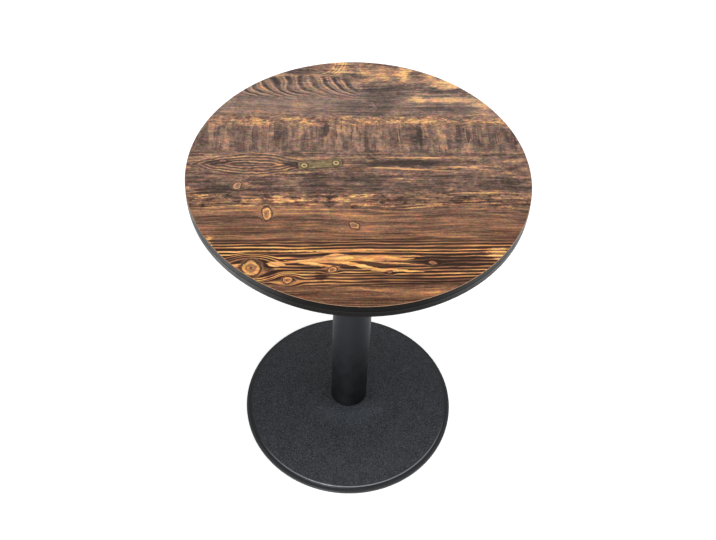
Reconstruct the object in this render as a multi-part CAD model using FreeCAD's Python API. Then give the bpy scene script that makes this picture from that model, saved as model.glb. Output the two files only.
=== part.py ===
"""Round pedestal table with a wood-print top, a tube column and a domed cast base.

The table stands on four levelling glides. The origin is on the floor under the column's axis, +Z is up,
and the print's grain runs along X. All lengths are in millimetres.

A threaded tie rod runs up the column and clamps the base, the column and the spider between two nuts.
The spider is screwed to the underside of the top.
"""

import FreeCAD
import Part
import math
import os

# Overall sizes
TABLE_HEIGHT = 750.0
TOP_DIAMETER = 600.0
BASE_DIAMETER = 472.0
COLUMN_DIAMETER = 80.0

# Table top: a core board between two sheets, with a moulding pressed into its edge
CORE_THICKNESS = 25.0
LAMINATE_THICKNESS = 0.8
LAMINATE_BEVEL = 0.5
BACKING_THICKNESS = 0.6
BAND_THICKNESS = 2.2
BAND_CROWN = 0.3
BAND_BEAD_HEIGHT = 4.0
BAND_BEAD_PROUD = 0.3
BAND_LIP_ROUND = 0.6
BAND_FIT = 0.15
TONGUE_DEPTH = 9.0
TONGUE_THICKNESS = 2.4
BARB_PROUD = 0.5
BARB_COUNT = 3
BARBED_SHARE = 0.8
SLOT_CLEARANCE = 0.1

# Spider: a cast cross between the column and the top
SPIDER_REACH = 185.0
SPIDER_HUB_WALL = 9.0
SPIDER_SOCKET_DEPTH = 10.0
SPIDER_WEB = 8.0
SPIDER_HUB_ROUND = 5.0
NUT_POCKET_ROOM = 5.0
ARM_COUNT = 4
ARM_ROOT_WIDTH = 46.0
ARM_TIP_WIDTH = 28.0
ARM_THICKNESS = 6.0
ARM_RIB_THICKNESS = 8.0
ARM_RIB_TO_SCREW = 18.0
ARM_RIB_TIP_DEPTH = 2.0
ARM_TIP_TO_SCREW = 17.0
SCREW_PITCH = 38.0

# Wood screws that hold the spider to the top
SCREW_DIAMETER = 4.8
SCREW_LENGTH = 25.0
SCREW_HEAD_DIAMETER = 9.5
SCREW_HEAD_HEIGHT = 3.2
SCREW_HEAD_CROWN = 0.8
SCREW_POINT_LENGTH = 5.0
SCREW_HOLE_CLEARANCE = 0.3
PILOT_CLEARANCE = 0.05
PILOT_SPARE_DEPTH = 1.5

# Column tube
COLUMN_WALL = 2.5
SOCKET_CLEARANCE = 0.15

# Tie rod with its nuts and washers
ROD_DIAMETER = 12.0
ROD_HOLE_CLEARANCE = 0.5
ROD_PAST_NUT = 2.5
ROD_TOP_CLEARANCE = 1.0
ROD_CHAMFER = 1.2
NUT_ACROSS_FLATS = 18.0
NUT_HEIGHT = 10.0
NUT_CHAMFER = 0.8
THREAD_CLEARANCE = 0.05
WASHER_DIAMETER = 36.0
WASHER_THICKNESS = 2.5

# Cast base: a shallow dome with a stepped rim, hollow and ribbed below
RIM_GAP = 2.0
RIM_WALL_HEIGHT = 6.5
RIM_ROUND = 1.5
RIM_LEDGE = 6.0
RIM_STEP = 9.3
RIM_WIDTH = 16.0
SHOULDER_RISE = 5.1
SHOULDER_ROUND = 1.6
COVE_SAG = 0.95
DOME_WALL = 6.0
DOME_RISE = 31.4
HUB_LIP = 1.2
BASE_SOCKET_DEPTH = 6.0
HUB_PLATE_THICKNESS = 14.0
HUB_BOSS_WALL = 6.0
RIB_THICKNESS = 6.0
RIB_ABOVE_SEAT = 1.0

# Levelling glides: a threaded stem that turns in a moulded foot
GLIDE_COUNT = 4
GLIDE_INSET = 40.0
GLIDE_FIRST_ANGLE = 45.0
GLIDE_BOSS_DIAMETER = 24.0
GLIDE_SKIN = 3.5
STEM_DIAMETER = 8.0
STEM_CLEARANCE = 0.15
STEM_CHAMFER = 0.8
STEM_END_GAP = 0.6
FLANGE_ACROSS_FLATS = 13.0
FLANGE_THICKNESS = 1.8
FOOT_DIAMETER = 30.0
FOOT_TOP_DIAMETER = 20.0
FOOT_EDGE_HEIGHT = 2.2
FOOT_EDGE_ROUND = 1.0
FOOT_SOCKET_FLOOR = 1.4
FOOT_LIP = 1.3
FOOT_FLANGE_GAP = 0.3
COLLAR_DIAMETER = 12.0
COLLAR_THICKNESS = 2.0
COLLAR_CLEARANCE = 0.3

# One overrun serves all cuts.
OVERRUN = 5.0

HEXAGON_SIDES = 6

# Heights and radii that follow from the sizes above
TOP_RADIUS = TOP_DIAMETER / 2
BASE_RADIUS = BASE_DIAMETER / 2
COLUMN_RADIUS = COLUMN_DIAMETER / 2
ROD_RADIUS = ROD_DIAMETER / 2
LAMINATE_UNDERSIDE = TABLE_HEIGHT - LAMINATE_THICKNESS
CORE_UNDERSIDE = LAMINATE_UNDERSIDE - CORE_THICKNESS
TOP_UNDERSIDE = CORE_UNDERSIDE - BACKING_THICKNESS
BAND_EDGE_RADIUS = TOP_RADIUS - BAND_BEAD_PROUD - BAND_CROWN
BAND_INNER_RADIUS = BAND_EDGE_RADIUS - BAND_THICKNESS
CORE_RADIUS = BAND_INNER_RADIUS - BAND_FIT
BAND_MIDDLE = (LAMINATE_UNDERSIDE + TOP_UNDERSIDE) / 2
SOCKET_RADIUS = COLUMN_RADIUS + SOCKET_CLEARANCE
SPIDER_HUB_RADIUS = SOCKET_RADIUS + SPIDER_HUB_WALL
OUTER_SCREW_RADIUS = SPIDER_REACH - ARM_TIP_TO_SCREW
INNER_SCREW_RADIUS = OUTER_SCREW_RADIUS - SCREW_PITCH
ROD_TOP = TOP_UNDERSIDE - ROD_TOP_CLEARANCE
SPIDER_NUT_SEAT = ROD_TOP - ROD_PAST_NUT - NUT_HEIGHT - WASHER_THICKNESS
COLUMN_TOP = SPIDER_NUT_SEAT - SPIDER_WEB
SPIDER_UNDERSIDE = COLUMN_TOP - SPIDER_SOCKET_DEPTH
RIM_LEDGE_HEIGHT = RIM_GAP + RIM_WALL_HEIGHT
SHOULDER_HEIGHT = RIM_LEDGE_HEIGHT + SHOULDER_RISE
HUB_TOP_HEIGHT = SHOULDER_HEIGHT + DOME_RISE
COLUMN_FOOT = HUB_TOP_HEIGHT - BASE_SOCKET_DEPTH
BASE_NUT_SEAT = COLUMN_FOOT - HUB_PLATE_THICKNESS
ROD_BOTTOM = BASE_NUT_SEAT - WASHER_THICKNESS - NUT_HEIGHT - ROD_PAST_NUT
SHOULDER_RADIUS = BASE_RADIUS - RIM_STEP
HUB_LIP_RADIUS = SOCKET_RADIUS + HUB_LIP
HUB_BOSS_RADIUS = SOCKET_RADIUS + HUB_BOSS_WALL
GLIDE_CIRCLE_RADIUS = BASE_RADIUS - GLIDE_INSET
FOOT_SOCKET_TOP = FOOT_SOCKET_FLOOR + COLLAR_THICKNESS + COLLAR_CLEARANCE
FOOT_HEIGHT = FOOT_SOCKET_TOP + FOOT_LIP
GLIDE_SEAT = FOOT_HEIGHT + FOOT_FLANGE_GAP + FLANGE_THICKNESS
STEM_RADIUS = STEM_DIAMETER / 2

# The dome is part of a sphere through the hub's lip and the inner edge of the shoulder.
DOME_EDGE_RADIUS = SHOULDER_RADIUS - SHOULDER_ROUND
DOME_CENTRE = ((DOME_EDGE_RADIUS ** 2 + SHOULDER_HEIGHT ** 2 - HUB_LIP_RADIUS ** 2 - HUB_TOP_HEIGHT ** 2)
               / (2 * (SHOULDER_HEIGHT - HUB_TOP_HEIGHT)))
DOME_RADIUS = math.hypot(DOME_EDGE_RADIUS, SHOULDER_HEIGHT - DOME_CENTRE)

UP = FreeCAD.Vector(0, 0, 1)
ORIGIN = FreeCAD.Vector(0, 0, 0)


def at(radius, height):
    """A point of a profile, in the half plane of positive X."""
    return FreeCAD.Vector(radius, 0, height)


def line(start, end):
    return Part.LineSegment(start, end).toShape()


def arc(start, middle, end):
    return Part.Arc(start, middle, end).toShape()


def bowed(start, end, sag):
    """An arc from start to end that bulges by sag to the left, or to the right if sag is negative."""
    along = end - start
    left = FreeCAD.Vector(-along.z, 0, along.x).normalize()
    return arc(start, (start + end) * 0.5 + left * sag, end)


def corner(start, end, centre):
    """An arc of the corner rounding whose centre is given, the short way round."""
    radius = (start - centre).Length
    middle = (start + end) * 0.5 - centre
    return arc(start, centre + middle.normalize() * radius, end)


def polygon(points):
    """Edges that join points into a closed outline."""
    return [line(a, b) for a, b in zip(points, points[1:] + points[:1])]


def revolved(edges):
    """The solid that a closed profile sweeps round the Z axis."""
    face = Part.Face(Part.Wire(Part.__sortEdges__(edges)))
    return face.revolve(ORIGIN, UP, 360)


def cylinder(radius, bottom, top, x=0.0, y=0.0):
    return Part.makeCylinder(radius, top - bottom, FreeCAD.Vector(x, y, bottom), UP)


def ring_places(count, radius, first_angle=0.0):
    """Places on a circle about the Z axis, each as (angle, x, y)."""
    angles = [first_angle + 360 * k / count for k in range(count)]
    return [(a, radius * math.cos(math.radians(a)), radius * math.sin(math.radians(a))) for a in angles]


def turned(shape, angle):
    copy = shape.copy()
    copy.rotate(ORIGIN, UP, angle)
    return copy


def moved(shape, x, y, z=0.0):
    copy = shape.copy()
    copy.translate(FreeCAD.Vector(x, y, z))
    return copy


def hexagon_prism(across_flats, bottom, top):
    corner_radius = across_flats / math.sqrt(3)
    places = ring_places(HEXAGON_SIDES, corner_radius)
    outline = [FreeCAD.Vector(x, y, bottom) for _, x, y in places]
    face = Part.Face(Part.Wire(polygon(outline)))
    return face.extrude(FreeCAD.Vector(0, 0, top - bottom))


def dome_height(radius, depth=0.0):
    """Height of the dome's surface, or of the sphere that lies depth below it."""
    return DOME_CENTRE + math.sqrt((DOME_RADIUS - depth) ** 2 - radius ** 2)


def screw_places():
    """Places of the wood screws: a row of them on each arm of the spider."""
    return ring_places(ARM_COUNT, INNER_SCREW_RADIUS) + ring_places(ARM_COUNT, OUTER_SCREW_RADIUS)


# Table top

def make_top_core():
    """The board, with the slot for the moulding's tongue and pilot holes for the screws."""
    slot_half = TONGUE_THICKNESS / 2 + BARB_PROUD + SLOT_CLEARANCE
    slot_floor = BAND_INNER_RADIUS - TONGUE_DEPTH - SLOT_CLEARANCE
    core = revolved(polygon([
        at(0, CORE_UNDERSIDE),
        at(CORE_RADIUS, CORE_UNDERSIDE),
        at(CORE_RADIUS, BAND_MIDDLE - slot_half),
        at(slot_floor, BAND_MIDDLE - slot_half),
        at(slot_floor, BAND_MIDDLE + slot_half),
        at(CORE_RADIUS, BAND_MIDDLE + slot_half),
        at(CORE_RADIUS, LAMINATE_UNDERSIDE),
        at(0, LAMINATE_UNDERSIDE),
    ]))
    radius = SCREW_DIAMETER / 2 + PILOT_CLEARANCE
    top = TOP_UNDERSIDE - ARM_THICKNESS + SCREW_LENGTH + PILOT_SPARE_DEPTH
    holes = [cylinder(radius, CORE_UNDERSIDE - OVERRUN, top, x, y) for _, x, y in screw_places()]
    return core.cut(holes)


def make_top_laminate():
    """The printed sheet, trimmed over the moulding with a bevelled edge."""
    return revolved(polygon([
        at(0, LAMINATE_UNDERSIDE),
        at(BAND_EDGE_RADIUS, LAMINATE_UNDERSIDE),
        at(BAND_EDGE_RADIUS, TABLE_HEIGHT - LAMINATE_BEVEL),
        at(BAND_EDGE_RADIUS - LAMINATE_BEVEL, TABLE_HEIGHT),
        at(0, TABLE_HEIGHT),
    ]))


def make_backing_sheet():
    """The balancing sheet under the core, bored for the screws."""
    sheet = cylinder(CORE_RADIUS, TOP_UNDERSIDE, CORE_UNDERSIDE)
    radius = SCREW_DIAMETER / 2 + SCREW_HOLE_CLEARANCE
    holes = [cylinder(radius, TOP_UNDERSIDE - OVERRUN, CORE_UNDERSIDE + OVERRUN, x, y)
             for _, x, y in screw_places()]
    return sheet.cut(holes)


def make_edge_band():
    """The T-moulding: a crowned face with a bead along its middle, and a barbed tongue in the core's slot."""
    bead_half = BAND_BEAD_HEIGHT / 2
    bead_foot = TOP_RADIUS - BAND_BEAD_PROUD
    lower, upper = TOP_UNDERSIDE, LAMINATE_UNDERSIDE
    lip = at(BAND_EDGE_RADIUS - BAND_LIP_ROUND, lower)
    lip_end = at(BAND_EDGE_RADIUS, lower + BAND_LIP_ROUND)
    face = [
        line(at(BAND_INNER_RADIUS, lower), lip),
        corner(lip, lip_end, at(BAND_EDGE_RADIUS - BAND_LIP_ROUND, lower + BAND_LIP_ROUND)),
        line(lip_end, at(bead_foot, BAND_MIDDLE - bead_half)),
        arc(at(bead_foot, BAND_MIDDLE - bead_half), at(TOP_RADIUS, BAND_MIDDLE),
            at(bead_foot, BAND_MIDDLE + bead_half)),
        line(at(bead_foot, BAND_MIDDLE + bead_half), at(BAND_EDGE_RADIUS, upper)),
        line(at(BAND_EDGE_RADIUS, upper), at(BAND_INNER_RADIUS, upper)),
    ]
    half = TONGUE_THICKNESS / 2
    barb_pitch = TONGUE_DEPTH * BARBED_SHARE / BARB_COUNT
    root = BAND_INNER_RADIUS - TONGUE_DEPTH * (1 - BARBED_SHARE)
    above = [
        at(BAND_INNER_RADIUS, upper),
        at(BAND_INNER_RADIUS, BAND_MIDDLE + half),
        at(root, BAND_MIDDLE + half),
    ]
    for _ in range(BARB_COUNT):
        above.append(at(root, BAND_MIDDLE + half + BARB_PROUD))
        root = root - barb_pitch
        above.append(at(root, BAND_MIDDLE + half))
    below = [at(p.x, 2 * BAND_MIDDLE - p.z) for p in reversed(above[1:])]
    inner = above + below + [at(BAND_INNER_RADIUS, lower)]
    return revolved(face + [line(a, b) for a, b in zip(inner, inner[1:])])


# Spider

def make_spider():
    """The cast cross: a hub that caps the column, and flat arms with a rib under each root."""
    round_centre = at(SPIDER_HUB_RADIUS - SPIDER_HUB_ROUND, SPIDER_UNDERSIDE + SPIDER_HUB_ROUND)
    round_start = at(round_centre.x, SPIDER_UNDERSIDE)
    round_end = at(SPIDER_HUB_RADIUS, round_centre.z)
    hub = revolved([
        line(at(0, SPIDER_UNDERSIDE), round_start),
        corner(round_start, round_end, round_centre),
        line(round_end, at(SPIDER_HUB_RADIUS, TOP_UNDERSIDE)),
        line(at(SPIDER_HUB_RADIUS, TOP_UNDERSIDE), at(0, TOP_UNDERSIDE)),
        line(at(0, TOP_UNDERSIDE), at(0, SPIDER_UNDERSIDE)),
    ])
    arms = [turned(make_spider_arm(), a) for a, _, _ in ring_places(ARM_COUNT, SPIDER_REACH)]
    solid = hub.fuse(arms).removeSplitter()
    rod_hole = ROD_RADIUS + ROD_HOLE_CLEARANCE
    screw_hole = SCREW_DIAMETER / 2 + SCREW_HOLE_CLEARANCE
    cuts = [
        cylinder(SOCKET_RADIUS, SPIDER_UNDERSIDE - OVERRUN, COLUMN_TOP),
        cylinder(rod_hole, SPIDER_UNDERSIDE, TOP_UNDERSIDE),
        cylinder(WASHER_DIAMETER / 2 + NUT_POCKET_ROOM, SPIDER_NUT_SEAT, TOP_UNDERSIDE + OVERRUN),
    ]
    cuts += [cylinder(screw_hole, SPIDER_UNDERSIDE, TOP_UNDERSIDE + OVERRUN, x, y)
             for _, x, y in screw_places()]
    return solid.cut(cuts)


def make_spider_arm():
    """One arm along +X: a tapered flange with a round tip, and a rib that deepens towards the hub."""
    root_half = ARM_ROOT_WIDTH / 2
    tip_half = ARM_TIP_WIDTH / 2
    tip_start = SPIDER_REACH - tip_half
    bottom = TOP_UNDERSIDE - ARM_THICKNESS
    right = FreeCAD.Vector(tip_start, -tip_half, bottom)
    left = FreeCAD.Vector(tip_start, tip_half, bottom)
    root_right = FreeCAD.Vector(0, -root_half, bottom)
    root_left = FreeCAD.Vector(0, root_half, bottom)
    outline = [
        line(root_right, right),
        arc(right, FreeCAD.Vector(SPIDER_REACH, 0, bottom), left),
        line(left, root_left),
        line(root_left, root_right),
    ]
    flange = Part.Face(Part.Wire(outline)).extrude(FreeCAD.Vector(0, 0, ARM_THICKNESS))
    rib_half = ARM_RIB_THICKNESS / 2
    rib_root = SPIDER_HUB_RADIUS - SPIDER_HUB_WALL / 2
    rib_foot = SPIDER_UNDERSIDE + SPIDER_HUB_ROUND
    rib_end = INNER_SCREW_RADIUS - ARM_RIB_TO_SCREW
    rib_side = [
        FreeCAD.Vector(rib_root, -rib_half, rib_foot),
        FreeCAD.Vector(SPIDER_HUB_RADIUS, -rib_half, rib_foot),
        FreeCAD.Vector(rib_end, -rib_half, bottom - ARM_RIB_TIP_DEPTH),
        FreeCAD.Vector(rib_end, -rib_half, bottom),
        FreeCAD.Vector(rib_root, -rib_half, bottom),
    ]
    rib = Part.Face(Part.Wire(polygon(rib_side))).extrude(FreeCAD.Vector(0, ARM_RIB_THICKNESS, 0))
    return flange.fuse(rib)


def make_spider_screws():
    """The wood screws, heads up against the arms from below."""
    shank = SCREW_DIAMETER / 2
    head = SCREW_HEAD_DIAMETER / 2
    seat = TOP_UNDERSIDE - ARM_THICKNESS
    point = seat + SCREW_LENGTH
    crown = at(0, seat - SCREW_HEAD_HEIGHT)
    rim = at(head, seat)
    profile = [
        bowed(crown, rim, -SCREW_HEAD_CROWN),
        line(rim, at(shank, seat)),
        line(at(shank, seat), at(shank, point - SCREW_POINT_LENGTH)),
        line(at(shank, point - SCREW_POINT_LENGTH), at(0, point)),
        line(at(0, point), crown),
    ]
    screw = revolved(profile)
    return Part.makeCompound([moved(screw, x, y) for _, x, y in screw_places()])


# Column and tie rod

def make_column_tube():
    outside = cylinder(COLUMN_RADIUS, COLUMN_FOOT, COLUMN_TOP)
    bore = cylinder(COLUMN_RADIUS - COLUMN_WALL, COLUMN_FOOT - OVERRUN, COLUMN_TOP + OVERRUN)
    return outside.cut(bore)


def make_tie_rod():
    return revolved(polygon([
        at(0, ROD_BOTTOM),
        at(ROD_RADIUS - ROD_CHAMFER, ROD_BOTTOM),
        at(ROD_RADIUS, ROD_BOTTOM + ROD_CHAMFER),
        at(ROD_RADIUS, ROD_TOP - ROD_CHAMFER),
        at(ROD_RADIUS - ROD_CHAMFER, ROD_TOP),
        at(0, ROD_TOP),
    ]))


def make_nut(bottom):
    """A hexagon nut whose corners are turned off at both faces."""
    top = bottom + NUT_HEIGHT
    corner_radius = NUT_ACROSS_FLATS / math.sqrt(3)
    blank = revolved(polygon([
        at(0, bottom),
        at(corner_radius - NUT_CHAMFER, bottom),
        at(corner_radius, bottom + NUT_CHAMFER),
        at(corner_radius, top - NUT_CHAMFER),
        at(corner_radius - NUT_CHAMFER, top),
        at(0, top),
    ]))
    bore = cylinder(ROD_RADIUS + THREAD_CLEARANCE, bottom - OVERRUN, top + OVERRUN)
    return hexagon_prism(NUT_ACROSS_FLATS, bottom, top).common(blank).cut(bore)


def make_washer(bottom):
    top = bottom + WASHER_THICKNESS
    bore = cylinder(ROD_RADIUS + ROD_HOLE_CLEARANCE, bottom - OVERRUN, top + OVERRUN)
    return cylinder(WASHER_DIAMETER / 2, bottom, top).cut(bore)


# Base

def make_base_casting():
    """The dome with its hub, rim, ribs and glide bosses."""
    rod_hole = ROD_RADIUS + ROD_HOLE_CLEARANCE
    cuts = [
        make_base_hollow(),
        cylinder(SOCKET_RADIUS, COLUMN_FOOT, HUB_TOP_HEIGHT + OVERRUN),
        cylinder(rod_hole, 0, HUB_TOP_HEIGHT),
    ]
    cuts += [cylinder(STEM_RADIUS + STEM_CLEARANCE, 0, glide_hole_top(), x, y)
             for _, x, y in ring_places(GLIDE_COUNT, GLIDE_CIRCLE_RADIUS, GLIDE_FIRST_ANGLE)]
    return make_base_blank().cut(cuts)


def make_base_blank():
    """The outside of the casting as a full solid, down to the rim's flat underside."""
    rim_corner = at(BASE_RADIUS, RIM_LEDGE_HEIGHT - RIM_ROUND)
    rim_top = at(BASE_RADIUS - RIM_ROUND, RIM_LEDGE_HEIGHT)
    ledge = at(BASE_RADIUS - RIM_LEDGE, RIM_LEDGE_HEIGHT)
    shoulder_foot = at(SHOULDER_RADIUS, SHOULDER_HEIGHT - SHOULDER_ROUND)
    shoulder = at(DOME_EDGE_RADIUS, SHOULDER_HEIGHT)
    dome_middle = (DOME_EDGE_RADIUS + HUB_LIP_RADIUS) / 2
    lip = at(HUB_LIP_RADIUS, HUB_TOP_HEIGHT)
    return revolved([
        line(at(0, RIM_GAP), at(BASE_RADIUS, RIM_GAP)),
        line(at(BASE_RADIUS, RIM_GAP), rim_corner),
        corner(rim_corner, rim_top, at(BASE_RADIUS - RIM_ROUND, RIM_LEDGE_HEIGHT - RIM_ROUND)),
        line(rim_top, ledge),
        bowed(ledge, shoulder_foot, COVE_SAG),
        corner(shoulder_foot, shoulder, at(DOME_EDGE_RADIUS, SHOULDER_HEIGHT - SHOULDER_ROUND)),
        arc(shoulder, at(dome_middle, dome_height(dome_middle)), lip),
        line(lip, at(0, HUB_TOP_HEIGHT)),
        line(at(0, HUB_TOP_HEIGHT), at(0, RIM_GAP)),
    ])


def make_base_hollow():
    """The space under the dome, less the hub boss, the ribs and the glide bosses that stand in it."""
    rim_inside = BASE_RADIUS - RIM_WIDTH
    half_way = rim_inside / 2
    edge = at(rim_inside, dome_height(rim_inside, DOME_WALL))
    crown = at(0, dome_height(0, DOME_WALL))
    floor = RIM_GAP - OVERRUN
    space = revolved([
        line(at(0, floor), at(rim_inside, floor)),
        line(at(rim_inside, floor), edge),
        arc(edge, at(half_way, dome_height(half_way, DOME_WALL)), crown),
        line(crown, at(0, floor)),
    ])
    rib = Part.makeBox(BASE_RADIUS, RIB_THICKNESS, HUB_TOP_HEIGHT,
                       FreeCAD.Vector(0, -RIB_THICKNESS / 2, GLIDE_SEAT + RIB_ABOVE_SEAT))
    standing = [cylinder(HUB_BOSS_RADIUS, BASE_NUT_SEAT, HUB_TOP_HEIGHT)]
    for angle, x, y in ring_places(GLIDE_COUNT, GLIDE_CIRCLE_RADIUS, GLIDE_FIRST_ANGLE):
        clear_of_nut = cylinder(HUB_BOSS_RADIUS, 0, BASE_NUT_SEAT)
        standing.append(turned(rib, angle).cut(clear_of_nut))
        standing.append(cylinder(GLIDE_BOSS_DIAMETER / 2, GLIDE_SEAT, HUB_TOP_HEIGHT, x, y))
    return space.cut(standing)


def glide_hole_top():
    """Height of a glide hole's blind end, which leaves a skin of iron under the dome's surface."""
    return dome_height(GLIDE_CIRCLE_RADIUS + STEM_RADIUS) - GLIDE_SKIN


# Levelling glides

def make_glide_foot(x, y):
    """The moulded foot, whose lip closes over the stem's collar."""
    radius = FOOT_DIAMETER / 2
    shoulder = FOOT_TOP_DIAMETER / 2
    mouth = STEM_RADIUS + COLLAR_CLEARANCE
    socket = COLLAR_DIAMETER / 2 + COLLAR_CLEARANCE
    round_start = at(radius - FOOT_EDGE_ROUND, 0)
    round_end = at(radius, FOOT_EDGE_ROUND)
    outline = [at(radius, FOOT_EDGE_HEIGHT), at(shoulder, FOOT_HEIGHT), at(mouth, FOOT_HEIGHT),
               at(mouth, FOOT_SOCKET_TOP), at(socket, FOOT_SOCKET_TOP), at(socket, FOOT_SOCKET_FLOOR),
               at(0, FOOT_SOCKET_FLOOR), at(0, 0), round_start]
    foot = revolved([
        corner(round_start, round_end, at(radius - FOOT_EDGE_ROUND, FOOT_EDGE_ROUND)),
        line(round_end, outline[0]),
    ] + [line(a, b) for a, b in zip(outline, outline[1:])])
    return moved(foot, x, y)


def make_glide_stem(x, y):
    """The threaded stem, with its hexagon flange and the collar that turns in the foot."""
    flange_bottom = GLIDE_SEAT - FLANGE_THICKNESS
    collar = COLLAR_DIAMETER / 2
    collar_top = FOOT_SOCKET_FLOOR + COLLAR_THICKNESS
    top = glide_hole_top() - STEM_END_GAP
    turned_part = revolved(polygon([
        at(0, FOOT_SOCKET_FLOOR),
        at(collar, FOOT_SOCKET_FLOOR),
        at(collar, collar_top),
        at(STEM_RADIUS, collar_top),
        at(STEM_RADIUS, top - STEM_CHAMFER),
        at(STEM_RADIUS - STEM_CHAMFER, top),
        at(0, top),
    ]))
    flange = hexagon_prism(FLANGE_ACROSS_FLATS, flange_bottom, GLIDE_SEAT)
    return moved(turned_part.fuse(flange).removeSplitter(), x, y)


def make_parts():
    """Every sub-part by its name."""
    parts = {
        "top_laminate": make_top_laminate(),
        "top_core": make_top_core(),
        "backing_sheet": make_backing_sheet(),
        "edge_band": make_edge_band(),
        "spider": make_spider(),
        "spider_screws": make_spider_screws(),
        "column_tube": make_column_tube(),
        "tie_rod": make_tie_rod(),
        "top_washer": make_washer(SPIDER_NUT_SEAT),
        "top_nut": make_nut(SPIDER_NUT_SEAT + WASHER_THICKNESS),
        "bottom_washer": make_washer(BASE_NUT_SEAT - WASHER_THICKNESS),
        "bottom_nut": make_nut(BASE_NUT_SEAT - WASHER_THICKNESS - NUT_HEIGHT),
        "base_casting": make_base_casting(),
    }
    places = ring_places(GLIDE_COUNT, GLIDE_CIRCLE_RADIUS, GLIDE_FIRST_ANGLE)
    for number, (_, x, y) in enumerate(places, start=1):
        parts[f"glide_foot_{number}"] = make_glide_foot(x, y)
        parts[f"glide_stem_{number}"] = make_glide_stem(x, y)
    return parts


os.makedirs("parts", exist_ok=True)
for name, shape in make_parts().items():
    shape.exportStep(f"parts/{name}.step")
    print(f"{name}: {len(shape.Solids)} solids, {shape.Volume / 1000:.2f} cm3, valid {shape.isValid()}")
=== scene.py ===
"""Looks of the round pedestal table: a burnt-wood print on the top, a black moulded edge, a satin black
column and a domed base in textured black.

Lengths of the stage are in metres. Finishes are laid out in millimetres."""

import math

import bpy
from mathutils import Matrix, Vector

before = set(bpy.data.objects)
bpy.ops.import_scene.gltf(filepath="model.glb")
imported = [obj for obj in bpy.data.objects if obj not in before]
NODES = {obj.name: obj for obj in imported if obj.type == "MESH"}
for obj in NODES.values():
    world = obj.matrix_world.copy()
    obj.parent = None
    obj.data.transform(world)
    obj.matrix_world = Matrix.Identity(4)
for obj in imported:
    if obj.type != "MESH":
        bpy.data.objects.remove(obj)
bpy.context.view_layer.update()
MM = 0.001

# Where the flat print ends and its bevel begins, in millimetres from the axis
BEVEL_RADIUS = 298.9
# Height of the moulding's underside, and of the browner part above it, in millimetres
BAND_LOW = 723.6
BAND_BROWN = 9.0
# Edge of the base's dome, and height of the step outside it, in millimetres
RIM_RADIUS = 224.9
RIM_SHELF = 9.5

# Camera, fitted to the photograph's outlines. The image is 716 x 540 pixels.
IMAGE_WIDTH_PX = 716
FOCAL_PX = 939.2
SENSOR_WIDTH_MM = 36.0
CAMERA_DISTANCE = 1.179
CAMERA_HEIGHT = 1.8854
CAMERA_AZIMUTH = math.radians(-3.7)
CAMERA_YAW = math.radians(-0.338)
CAMERA_PITCH = math.radians(50.0)
CAMERA_ROLL = math.radians(3.014)

# Studio
WHITE = (1.0, 1.0, 1.0, 1.0)
WORLD_STRENGTH = 0.55
FLOOR_SIZE = 60.0
FLOOR_COLOUR = (0.86, 0.86, 0.86, 1.0)
# Glow that brings the floor up to white where the camera sees it, and where gloss mirrors it
FLOOR_GLOW_SEEN = 0.51
FLOOR_GLOW_MIRRORED = 0.42
# Brighter places of the floor beside the table, for gloss only: middle, half sizes (millimetres), added glow
FLOOR_SHEENS = ((-770, -300, 300, 600, 2.4), (770, -350, 300, 600, 0.7))
# Lamps: name, place, target, width, height, power
LAMPS = (
    ("overhead", (0.2, -0.95, 2.9), (0.0, 0.0, 0.3), 2.2, 0.7, 37.0),
    ("back", (0.0, 2.7, 1.9), (0.0, 0.0, 0.6), 2.4, 2.4, 10.0),
    ("left", (-2.4, -0.9, 1.7), (0.0, 0.0, 0.5), 1.4, 1.4, 8.0),
    ("right", (2.4, -0.6, 1.5), (0.0, 0.0, 0.5), 1.4, 1.4, 8.0),
)
# A low lamp in front, below the top, that only gloss sees: it draws a soft streak down the column
GLOSS_LAMP = ("gloss", (-0.88, -2.45, 0.34), (0.0, 0.0, 0.3), 0.5, 0.56, 66.0)

# Most values of a noise lie between these
NOISE_LOW = 0.3
NOISE_HIGH = 0.7

# Painted highlight on the base in front of the column's foot: a lighter patch where the dome catches light.
# Each pair is where it starts and is full: radius, place towards the front, and height.
PAINTED_HIGHLIGHT_RADII = (112.0, 56.0)
PAINTED_HIGHLIGHT_FRONT = (-14.0, -60.0)
PAINTED_HIGHLIGHT_HEIGHTS = (20.0, 30.0)
PAINTED_HIGHLIGHT_SHARE = 0.62
# Painted highlight along the front of the dome's edge, lighter and partly metallic: how far forward it
# starts and is full, and its turn to the right
RIM_HIGHLIGHT_FRONT = (60.0, 175.0)
RIM_HIGHLIGHT_TURN = 0.12


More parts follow.
